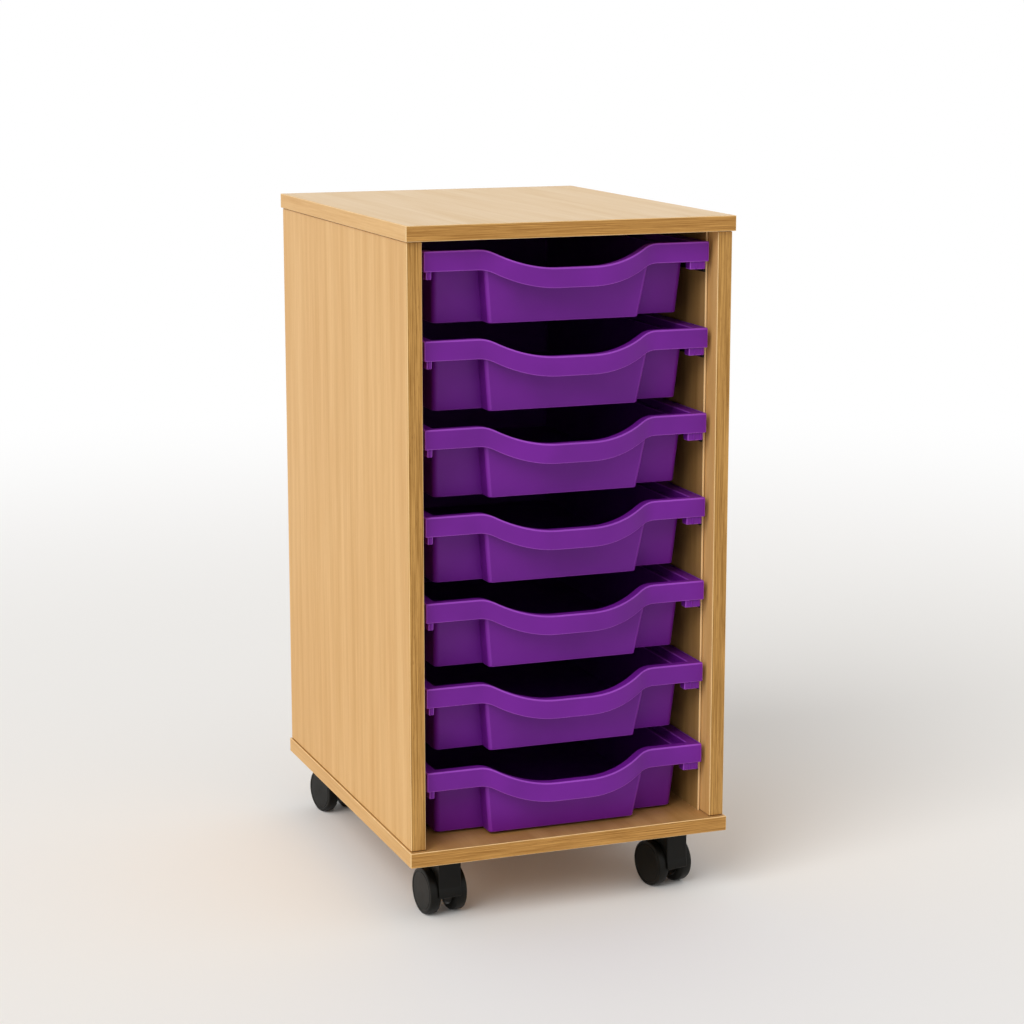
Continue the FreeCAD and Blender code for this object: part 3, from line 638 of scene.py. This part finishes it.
@dataclass
class Carcass:
    """Boards, their edging, the liners that the runners are fixed to, and the back.

    Attributes:
        board: Foil of the side panels.
        top: Foil of the top, painted paler than the side panels' for the light that falls on it from above.
        base: Foil of the base, painted darker as the shade under the trays.
        side_edge: Edging on the sides of the top and the base, painted in the paler tone of the lit sides.
        upright_edge: Edging on the side panels: a deeper tone than the foil, darkened further as painted
            shade on the front-facing faces.
        level_edge: Edging on the front and the back of the top and the base: a deeper tone than the foil,
            darkened further as painted shade on the faces turned from the light.
        arris: Arris of the edging, painted a pale line as its highlight.
        liner: Foil of the liners, painted darker as the shade inside the carcass.
        back: Foil of the back, painted darker as the shade inside the carcass.
        joint: Width of a fine joint between two boards, in millimetres.
        back_screw: Screw of the back.
        back_rows: Number of screws up each side of the back.
        back_inset: Screws in from the back's edges, in millimetres.
    """

    board: BeechFoil = BeechFoil("beech_foil_on_side", "#E2B575", "#D19E59", Axis.ALONG_Z)
    # The top's foil is painted paler for the light from above.
    top: BeechFoil = BeechFoil("beech_foil_on_top", "#E4C69C", "#DBB885", Axis.ALONG_Y, contrast=0.15)
    # Painted shade: the base's foil is darker for the shade under the trays.
    base: BeechFoil = BeechFoil("beech_foil_on_base", "#BE9058", "#AE7F46", Axis.ALONG_Y, contrast=0.2)
    # Side strips painted in the lit sides' paler tone; upright and level edging darker, partly as painted
    # shade.
    side_edge: BeechFoil = BeechFoil("beech_edging_on_sides", "#E2B575", "#CE9C58", Axis.ALONG_Y)
    upright_edge: BeechFoil = BeechFoil(
        "beech_edging_upright", "#CB9A54", "#94682A", Axis.ALONG_Z, contrast=0.9, streak=0.9, spread=0.12)
    level_edge: BeechFoil = BeechFoil(
        "beech_edging_level", "#CE9A52", "#966628", Axis.ALONG_X, contrast=0.85, streak=1.0, spread=0.12)
    # Pale arris colour: painted highlights on the edging and the liners' front edges.
    arris: BeechFoil = BeechFoil("trimmed_arris_of_edging", "#F2D09A", "#E6BE82", Axis.ALONG_Z, contrast=0.1)
    # Painted shade: the liners' and the back's foils are darker for the shade inside the carcass.
    liner: BeechFoil = BeechFoil("beech_foil_on_liner", "#B48C54", "#9C753F", Axis.ALONG_Z)
    back: BeechFoil = BeechFoil("beech_foil_on_back", "#B89263", "#A47E50", Axis.ALONG_Z, contrast=0.25)
    joint: float = 0.8
    back_screw: Screw = Screw(head=7.0, height=1.6)
    back_rows: int = 5
    back_inset: float = 9.0

    def dress_flat_boards(self) -> None:
        """Give the boards that keep their shape their foil."""
        foils = {
            "top_panel": self.top, "base_panel": self.base, "biscuits": self.base, "back_panel": self.back,
        }
        made = {foil: foil.material() for foil in dict.fromkeys(foils.values())}
        for node, foil in foils.items():
            dress(frame["nodes"][node], made[foil])

    def ease_sides(self, arris: bpy.types.Material) -> None:
        """Ease the side panels and the liners, so that their joints show as fine lines.

        Args:
            arris: Material of the liners' front edges, pale as a painted highlight.
        """
        upright, liner = self.board.material(), self.liner.material()
        for hand in HANDS:
            node = f"side_panel_{hand}"
            panel = softened(node, f"{node}_eased", Ease.BOARD, nudge=self.shortened(node))
            dress(panel, upright)
            settle(panel, "carcass", [node])
            node = f"side_liner_{hand}"
            board = softened(node, f"{node}_eased", Ease.BOARD, nudge=self.thinned(node))
            dress(board, liner, arris)
            # The liner's front edge is painted pale as a highlight.
            for face in board.data.polygons:
                if face.normal.y < -0.9:
                    face.material_index = 1
            settle(board, "carcass", [node])

    def shortened(self, node: str) -> Callable[[Vector], Vector]:
        """Leave a fine joint above and below an upright board.

        Args:
            node: CAD node of the board.

        Returns:
            Nudge of the board's points.
        """
        low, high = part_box(node)
        middle = (low.z + high.z) / 2
        share = 1 - 2 * self.joint * MM / (high.z - low.z)
        return lambda point: Vector((point.x, point.y, middle + (point.z - middle) * share))

    def thinned(self, node: str) -> Callable[[Vector], Vector]:
        """Leave a fine joint between a liner's front edge and the board that it is glued to.

        Args:
            node: CAD node of the liner.

        Returns:
            Nudge of the liner's points.
        """
        low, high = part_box(node)
        outside = max(low.x, high.x, key=abs)
        gap = Vector((math.copysign(self.joint * MM, outside), 0, 0))

        def nudge(point: Vector) -> Vector:
            """Draw a point of the front edge off the board."""
            return point - gap if abs(point.x - outside) < 0.1 * MM and point.y < low.y + MM else point

        return nudge

    def lay_level_edging(self, arris: bpy.types.Material) -> None:
        """Replace the edging of the top and the base by strips whose arrises are eased and painted pale as
        highlights.

        Args:
            arris: Material of the arrises, pale as painted highlights.
        """
        level, side = self.level_edge.material(), self.side_edge.material()
        for node in ("top_edging", "base_edging"):
            strips = softened(node, f"{node}_eased", Ease.ARRIS)
            dress(strips, level, arris)
            strips.data.materials.append(side)
            side_reach = 0.4 * strips.dimensions.y
            # Side strips take the paler, lit tone and the front and back strips the darker one: painted
            # light and shade on one edging.
            for face in strips.data.polygons:
                if face.material_index == 0 and abs(face.center.y) < side_reach:
                    face.material_index = 2
            settle(strips, "carcass", [node])

    def lay_upright_edging(self, arris: bpy.types.Material) -> None:
        """Replace the side panels' edging by strips whose upright arrises are eased and painted pale as
        highlights.

        Args:
            arris: Material of the arrises, pale as painted highlights.
        """
        upright = self.upright_edge.material()
        for hand in HANDS:
            node = f"side_edging_{hand}"
            strip = softened(node, f"{node}_eased", Ease.ARRIS, nudge=self.shortened(node))
            dress(strip, upright, arris)
            for face in strip.data.polygons:
                if abs(face.normal.z) > 0.3:
                    face.material_index = 0
            settle(strip, "carcass", [node])

    def fix_back(self, zinc: bpy.types.Material) -> None:
        """Screw the back on.

        Args:
            zinc: Finish of the screws.
        """
        low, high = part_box("back_panel")
        inset = self.back_inset * MM
        spots = []
        for row in range(self.back_rows):
            height = low.z + inset + (high.z - low.z - 2 * inset) * row / (self.back_rows - 1)
            spots += [Vector((x, high.y, height)) for x in (low.x + inset, high.x - inset)]
        spots += [Vector((0, high.y, height)) for height in (low.z + inset, high.z - inset)]
        self.back_screw.drive("back_screws", spots, (0.0, 0.0, math.pi / 2), zinc)

    def build(self, zinc: bpy.types.Material) -> None:
        """Dress the boards and add what the solids leave out.

        Args:
            zinc: Finish of the screws.
        """
        arris = self.arris.material()
        self.dress_flat_boards()
        self.ease_sides(arris)
        self.lay_level_edging(arris)
        self.lay_upright_edging(arris)
        self.fix_back(zinc)


@dataclass(frozen=True)
class LipWave:
    """Line of the pull lip, which dips and bows by the same amount towards the tray's middle.

    Attributes:
        start: Where the line starts to curve, from the tray's middle, in millimetres.
        shoulder: Radius of the shoulder, in millimetres.
        scoop: Radius of the scoop, in millimetres.
        depth: Depth of the wave at the middle, in millimetres.
    """

    start: float = 98.0
    shoulder: float = 35.0
    scoop: float = 140.0
    depth: float = 19.0

    def at(self, x: float) -> float:
        """Depth of the wave.

        Args:
            x: Place across the tray, from its middle, in millimetres.

        Returns:
            Depth there, in millimetres.
        """
        radii = self.shoulder + self.scoop
        reach = math.sqrt(self.depth * (2 * radii - self.depth))
        turn, bottom = self.start - self.shoulder / radii * reach, self.start - reach
        if abs(x) >= self.start:
            return 0.0
        if abs(x) >= turn:
            return self.shoulder - math.sqrt(self.shoulder**2 - (self.start - abs(x)) ** 2)
        if abs(x) >= bottom:
            return self.depth - self.scoop + math.sqrt(self.scoop**2 - (abs(x) - bottom) ** 2)
        return self.depth


@dataclass
class Trays:
    """Moulded trays with rounded edges and a bead round each rim, both painted a lighter purple as
    highlights, and ribs on the lugs.

    Attributes:
        count: Number of trays.
        plastic: Finish of the trays.
        edge: Finish of their edges and beads: a lighter, glossier purple, painted as highlights.
        corner: Finish of the bulge's upright corners: a purple between the body's and the edges', painted as
            a highlight.
        wave: Line of the lip.
        lip_bow: How far the lip's middle stands in front of its ends, in millimetres.
        bead: Width of the bead on the rim, in millimetres.
        rim_corner: Cut at the rim's back corners, in millimetres.
        lip_height: Height of the lip, in millimetres.
        lip_wall: Thickness of the lip, in millimetres.
        lug_drop: How far the lugs hang below the lip, in millimetres.
        lug_root: Near side of the solid's lugs from the tray's middle, in millimetres.
        lug_end: Far side of the lugs, in millimetres.
        lug_near: Near side of the left and of the right lug as they are drawn, in millimetres.
        lug_depth: Depth of a lug behind the lip, in millimetres.
        bulge: Half the width of the bulge at the front, in millimetres.
        bulge_foot: Height above the tray's underside that the bulge's corners reach down to, in millimetres.
        rib: Width of a rib and how far it stands proud, in millimetres.
        ribs: Ribs' places across the left and the right lug, as shares of its width.
    """

    count: int = 7
    plastic: MouldedPlastic = MouldedPlastic(
        "moulded_polypropylene_purple", "#711A92", "#691888", roughness=0.42)
    # Lighter purple on every rounded edge and bead: painted highlights.
    edge: MouldedPlastic = MouldedPlastic(
        "polished_polypropylene_edge", "#9A46BC", "#9140B2", roughness=0.3)
    # Lighter purple on the bulge's upright corners: a painted highlight.
    corner: MouldedPlastic = MouldedPlastic(
        "rubbed_polypropylene_corner", "#812CA3", "#792899", roughness=0.36)
    wave: LipWave = LipWave()
    lip_bow: float = 19.0
    bead: float = 1.5
    rim_corner: float = 6.0
    lip_height: float = 20.0
    lip_wall: float = 2.2
    lug_drop: float = 8.0
    lug_root: float = 135.5
    lug_end: float = 153.0
    lug_near: tuple[float, float] = (147.5, 135.5)
    lug_depth: float = 11.3
    bulge: float = 93.0
    bulge_foot: float = 4.0
    rib: tuple[float, float] = (2.2, 0.7)
    ribs: tuple[tuple[float, ...], tuple[float, ...]] = ((0.5,), (0.4, 0.85))

    def rim_line(self, low: Vector, high: Vector) -> list[Vector]:
        """Middle line of the bead, once round the rim.

        Args:
            low: Lowest corner of the tray.
            high: Highest corner of the tray.

        Returns:
            Points in order, in metres.
        """
        inset, steps = self.bead / 2 + 0.1, 60
        half = high.x / MM - inset
        front, back = low.y / MM + self.lip_bow + inset, high.y / MM - inset
        top, cut = high.z / MM, self.rim_corner - inset * (2 - math.sqrt(2))
        line = []
        for step in range(steps + 1):
            x = half * (2 * step / steps - 1)
            depth = self.wave.at(x)
            line.append((x, front - depth, top - depth))
        line += [(half, back - cut, top), (half - cut, back, top),
                 (cut - half, back, top), (-half, back - cut, top)]
        return [Vector(point) * MM for point in line]

    def rib_spots(self, low: Vector, high: Vector) -> list[Vector]:
        """Middles of the ribs' feet on both lugs of a tray.

        Args:
            low: Lowest corner of the tray.
            high: Highest corner of the tray.

        Returns:
            Points, in metres.
        """
        front = low.y / MM + self.lip_bow + self.lip_wall
        height = high.z / MM - self.lip_height - self.lug_drop / 2
        spots = []
        for side, near, shares in zip(HANDS.values(), self.lug_near, self.ribs):
            width = self.lug_end - near
            spots += [Vector((side * (near + width * share), front, height)) * MM for share in shares]
        return spots

    def rib_pattern(self) -> bpy.types.Object:
        """Make one upright rib with a rounded front.

        Returns:
            The rib, with its foot at the origin.
        """
        width, proud = self.rib
        shell = bmesh.new()
        half, tall = width / 2 * MM, (self.lug_drop / 2 - 0.4) * MM
        outline = [(-half, 0.2 * MM), (-half, -0.5 * proud * MM), (-0.5 * half, -proud * MM),
                   (0.5 * half, -proud * MM), (half, -0.5 * proud * MM), (half, 0.2 * MM)]
        face = shell.faces.new([shell.verts.new((x, y, -tall)) for x, y in outline])
        made = bmesh.ops.extrude_face_region(shell, geom=[face])["geom"]
        raised = [item for item in made if isinstance(item, bmesh.types.BMVert)]
        bmesh.ops.translate(shell, vec=(0, 0, 2 * tall), verts=raised)
        bmesh.ops.recalc_face_normals(shell, faces=shell.faces)
        mesh = bpy.data.meshes.new("lug_rib")
        shell.to_mesh(mesh)
        shell.free()
        return new_piece("lug_rib", mesh)

    def narrowed(self, low: Vector) -> Callable[[Vector], Vector]:
        """Draw the near side of each lug in.

        Args:
            low: Lowest corner of the tray.

        Returns:
            Nudge of the tray's points.
        """
        front = low.y / MM + self.lip_bow + self.lip_wall
        back = front + self.lug_depth

        def nudge(point: Vector) -> Vector:
            """Move a point of a lug's near side across the tray."""
            at_root = abs(abs(point.x / MM) - self.lug_root) < 0.05
            on_side = at_root and front - 0.1 < point.y / MM < back + 0.1
            near = math.copysign(self.lug_near[point.x > 0], point.x) * MM
            return Vector((near, point.y, point.z)) if on_side else point

        return nudge

    def paint_bulge_highlight(self, shell: bpy.types.Object, low: Vector, corner: bpy.types.Material) -> None:
        """Paint a highlight on the bulge's upright corners with a lighter purple.

        Args:
            shell: Moulding of a tray.
            low: Lowest corner of the tray.
            corner: Material of the corners, a lighter purple that paints their highlight.
        """
        shell.data.materials.append(corner)
        for face in shell.data.polygons:
            foot = min(shell.data.vertices[index].co.z for index in face.vertices)
            on_bulge = foot < low.z + self.bulge_foot * MM and abs(face.center.x) < self.bulge * MM
            slanted = face.normal.y < -0.15 and 0.15 < abs(face.normal.x) < 0.97
            if on_bulge and slanted:
                face.material_index = 2

    def build(self) -> None:
        """Build every tray's pieces."""
        plastic, edge, corner = self.plastic.material(), self.edge.material(), self.corner.material()
        beads, repeats, rib = bead_group(), repeat_group(), self.rib_pattern()
        for number in range(1, self.count + 1):
            node = f"tray_{number}"
            low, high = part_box(node)
            shell = softened(node, f"{node}_moulding", Ease.MOULDED, nudge=self.narrowed(low))
            # The rounded edges take the lighter purple, a painted highlight.
            dress(shell, plastic, edge)
            # Painted highlight on the bulge's upright corners.
            self.paint_bulge_highlight(shell, low, corner)
            settle(shell, node, [node])
            line = points_mesh(f"{node}_rim_line", self.rim_line(low, high), looped=True)
            # The bead takes the same lighter purple, a painted highlight.
            bead = grow(f"{node}_rim_bead", line, beads, {
                "Width": self.bead * MM, "Corners": 8, "Finish": edge})
            settle(bead, node)
            spots = points_mesh(f"{node}_rib_spots", self.rib_spots(low, high))
            ribs = grow(f"{node}_lug_ribs", spots, repeats, {"Pattern": rib, "Finish": plastic})
            settle(ribs, node)
        bpy.data.objects.remove(rib)


@dataclass
class Runners:
    """Extruded runners and the screws that hold them to the liners.

    Attributes:
        plastic: Finish of the runners.
        screw: Screw of the runners.
        spots: Screws' places along a runner, as shares of its length.
        rise: Screws' height on a runner, as a share of its height.
        web: Thickness of a runner's upright web, in millimetres.
    """

    plastic: MouldedPlastic = MouldedPlastic("extruded_abs_black", "#201F1E", "#1A1918", roughness=0.45)
    screw: Screw = Screw(head=6.0, height=1.2, socket=2.0)
    spots: tuple[float, ...] = (0.06, 0.5, 0.94)
    rise: float = 0.4
    web: float = 2.0

    def build(self, count: int, zinc: bpy.types.Material) -> None:
        """Dress the runners and screw them on.

        Args:
            count: Number of runners on each side.
            zinc: Finish of the screws.
        """
        plastic = self.plastic.material()
        for hand, side in HANDS.items():
            places = []
            for number in range(1, count + 1):
                node = f"runner_{hand}_{number}"
                dress(frame["nodes"][node], plastic)
                low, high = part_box(node)
                face = (high.x - self.web * MM) if side > 0 else (low.x + self.web * MM)
                height = low.z + self.rise * (high.z - low.z)
                places += [Vector((face, low.y + share * (high.y - low.y), height)) for share in self.spots]
            self.screw.drive(f"runner_screws_{hand}", places, (0.0, 0.0, math.pi if side > 0 else 0.0), zinc)


@dataclass
class Castors:
    """Twin-wheel castors: turned wheels, eased hoods, plates and their screws.

    Attributes:
        corners: Where the castors are.
        plastic: Finish of the wheels and hoods.
        wheel: Half-section of a wheel from axis to axis, as its distance outwards from the castor's middle
            and its radius, in millimetres.
        steps: Number of steps round a wheel.
        screw: Screw of the plates.
        screw_inset: Screws in from the plate's edges, in millimetres.
    """

    corners: tuple[str, ...] = ("front_left", "front_right", "back_left", "back_right")
    plastic: MouldedPlastic = MouldedPlastic(
        "moulded_nylon_black", "#100F0B", "#0C0B08", roughness=0.38, grain=0.6, ior=1.53, gloss=0.15)
    wheel: Profile = (
        (18.75, 0), (18.75, 3.05), (6.25, 3.05), (6.25, 8.0), (8.0, 9.2), (8.0, 16.5), (6.45, 18.2),
        (6.7, 19.6), (9.0, 23.6), (10.2, 24.7), (11.4, 25.0), (19.4, 25.0), (20.5, 24.6), (21.1, 23.6),
        (21.2, 22.6), (21.2, 21.6), (20.8, 21.1), (20.8, 20.5), (21.15, 20.1), (21.2, 12.0), (21.2, 0),
    )
    steps: int = 96
    screw: Screw = Screw(head=7.5, height=2.0)
    screw_inset: float = 7.5

    def wheel_place(self, joint: dict, side: int) -> Matrix:
        """Frame of a wheel, with its own X axis pointing outwards.

        Args:
            joint: The wheel's joint, from the frame.
            side: -1 for a left wheel and 1 for a right wheel.

        Returns:
            Matrix from the wheel's frame to the unit's.
        """
        outwards = Vector(joint["axis"]).normalized() * side
        up = Vector((0, 0, 1))
        turn = Matrix((outwards, up.cross(outwards), up)).transposed()
        return Matrix.Translation(joint["pos_m"]) @ turn.to_4x4()

    def mould_castor(self, corner: str, plastic: bpy.types.Material) -> None:
        """Build a castor's hood and wheels.

        Args:
            corner: Where the castor is.
            plastic: Material of the hood and the wheels.
        """
        node = f"castor_{corner}_hood"
        hood = softened(node, f"{node}_moulding", Ease.MOULDED, crease=38)
        dress(hood, plastic)
        settle(hood, f"{corner}_swivel", [node])
        joints = {joint["child"]: joint for joint in frame["joints"]}
        for hand, side in HANDS.items():
            body, node = f"{corner}_wheel_{hand}", f"castor_{corner}_wheel_{hand}"
            wheel = turned(f"{node}_moulding", self.wheel, self.steps, self.wheel_place(joints[body], side))
            dress(wheel, plastic)
            settle(wheel, body, [node])

    def plate_spots(self, corner: str) -> list[Vector]:
        """Middles of the screws' feet on a castor's plate.

        Args:
            corner: Where the castor is.

        Returns:
            Points, in metres.
        """
        low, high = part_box(f"castor_{corner}_plate")
        inset = self.screw_inset * MM
        return [Vector((x, y, low.z)) for x in (low.x + inset, high.x - inset)
                for y in (low.y + inset, high.y - inset)]

    def build(self, zinc: bpy.types.Material) -> None:
        """Build every castor's pieces.

        Args:
            zinc: Finish of the plates, the pins and the screws.
        """
        plastic = self.plastic.material()
        spots = []
        for corner in self.corners:
            self.mould_castor(corner, plastic)
            dress(frame["nodes"][f"castor_{corner}_plate"], zinc)
            spots += self.plate_spots(corner)
        dress(frame["nodes"]["castor_pins"], zinc)
        self.screw.drive("plate_screws", spots, (0.0, math.pi / 2, 0.0), zinc)


@dataclass
class Studio:
    """Pale floor, soft light and the camera.

    Attributes:
        lens: Focal length for a 36 mm sensor, in millimetres.
        eye: Camera's place, in metres.
        heading: Camera's turn to the right of +Y, in degrees.
        pitch: Camera's tilt, in degrees.
        floor: Colour of the floor.
        reach: Half the width of the floor, in metres.
        ambient: Strength of the light from all round.
        sun: Strength of the lamp.
        sun_from: Direction that the lamp's light comes from.
        sun_width: Width of the lamp as the unit sees it, in degrees.
        fade: Where the floor starts and ends to fade into the white beyond it, in metres from the unit.
    """

    lens: float = 90.38
    eye: tuple[float, float, float] = (-0.976, -2.6326, 0.9524)
    heading: float = 20.67
    pitch: float = -11.34
    floor: str = "#F1EFEC"
    reach: float = 30.0
    ambient: float = 0.65
    sun: float = 1.5
    sun_from: tuple[float, float, float] = (-0.62, -0.45, 0.64)
    sun_width: float = 40.0
    fade: tuple[float, float] = (1.0, 3.2)

    def light(self) -> None:
        """Hang the lamp and set the world, which is plain white to the eye, to metal and to glass."""
        data = bpy.data.lights.new("window_light", "SUN")
        data.energy, data.angle = self.sun, math.radians(self.sun_width)
        lamp = bpy.data.objects.new("window_light", data)
        bpy.context.scene.collection.objects.link(lamp)
        lamp.rotation_euler = (-Vector(self.sun_from)).to_track_quat("-Z", "Y").to_euler()
        world = bpy.data.worlds.new("soft_room")
        bpy.context.scene.world = world
        world.use_nodes = True
        tree = world.node_tree
        tree.nodes.clear()
        soft = add_node(tree, "ShaderNodeBackground", {"Color": srgb("#FFFFFF"), "Strength": self.ambient})
        wall = add_node(tree, "ShaderNodeBackground", {"Color": srgb("#FFFFFF"), "Strength": 1.0})
        both = add_node(tree, "ShaderNodeMixShader", {
            0: self.seen(tree), 1: soft.outputs[0], 2: wall.outputs[0]})
        add_node(tree, "ShaderNodeOutputWorld", {"Surface": both.outputs[0]})

    def seen(self, tree: bpy.types.NodeTree) -> bpy.types.NodeSocket:
        """Tell what the camera sees from the light that falls on things.

        Args:
            tree: Tree of the floor's material or of the world.

        Returns:
            Socket that is 1 for what the camera sees straight, in a mirror or through glass.
        """
        path = add_node(tree, "ShaderNodeLightPath")
        straight = add_node(tree, "ShaderNodeMath", {
            0: path.outputs["Is Camera Ray"], 1: path.outputs["Is Glossy Ray"]}, operation="MAXIMUM")
        return add_node(tree, "ShaderNodeMath", {
            0: straight.outputs[0], 1: path.outputs["Is Transmission Ray"]}, operation="MAXIMUM").outputs[0]

    def lay_floor(self) -> None:
        """Lay a pale floor under the unit, which fades into the white beyond it."""
        mesh = bpy.data.meshes.new("studio_floor")
        corners = [(x * self.reach, y * self.reach, 0) for x, y in ((-1, -1), (1, -1), (1, 1), (-1, 1))]
        mesh.from_pydata(corners, [], [range(4)])
        floor = new_piece("studio_floor", mesh)
        material, tree = new_material("matt_studio_paper")
        place = add_node(tree, "ShaderNodeTexCoord").outputs["Object"]
        fibre = add_node(tree, "ShaderNodeTexNoise", {"Vector": place, "Scale": 3.0, "Detail": 2.0})
        sheen = add_node(tree, "ShaderNodeMapRange", {
            "Value": fibre.outputs["Fac"], "To Min": 0.7, "To Max": 0.8})
        paper = add_node(tree, "ShaderNodeBsdfPrincipled", {
            "Base Color": srgb(self.floor), "Roughness": sheen.outputs[0], "Specular IOR Level": 0.2})
        white = add_node(tree, "ShaderNodeEmission", {"Color": srgb("#FFFFFF"), "Strength": 1.0})
        away = add_node(tree, "ShaderNodeVectorMath", {0: place}, operation="LENGTH")
        near, far = self.fade
        faded = add_node(tree, "ShaderNodeMapRange", {
            "Value": away.outputs["Value"], "From Min": near, "From Max": far,
        }, interpolation_type="SMOOTHSTEP")
        share = add_node(tree, "ShaderNodeMath", {
            0: faded.outputs[0], 1: self.seen(tree)}, operation="MULTIPLY")
        both = add_node(tree, "ShaderNodeMixShader", {
            0: share.outputs[0], 1: paper.outputs[0], 2: white.outputs[0]})
        add_node(tree, "ShaderNodeOutputMaterial", {"Surface": both.outputs[0]})
        dress(floor, material)

    def set_camera(self) -> None:
        """Set the camera up."""
        data = bpy.data.cameras.new("camera")
        data.lens, data.sensor_width = self.lens, 36.0
        camera = bpy.data.objects.new("camera", data)
        bpy.context.scene.collection.objects.link(camera)
        camera.location = self.eye
        camera.rotation_euler = (math.radians(90 + self.pitch), 0, math.radians(-self.heading))
        bpy.context.scene.camera = camera

    def build(self) -> None:
        """Set the whole studio up."""
        bpy.context.scene.view_settings.view_transform = "Standard"
        self.light()
        self.lay_floor()
        self.set_camera()


def main() -> None:
    """Dress the solids, add their fine pieces and set the studio up."""
    logging.basicConfig(level=logging.INFO, format="%(message)s")
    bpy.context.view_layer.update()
    zinc = ZincPlate().material()
    trays = Trays()
    Carcass().build(zinc)
    trays.build()
    Runners().build(trays.count, zinc)
    Castors().build(zinc)
    Studio().build()


if __name__ == "__main__":
    main()
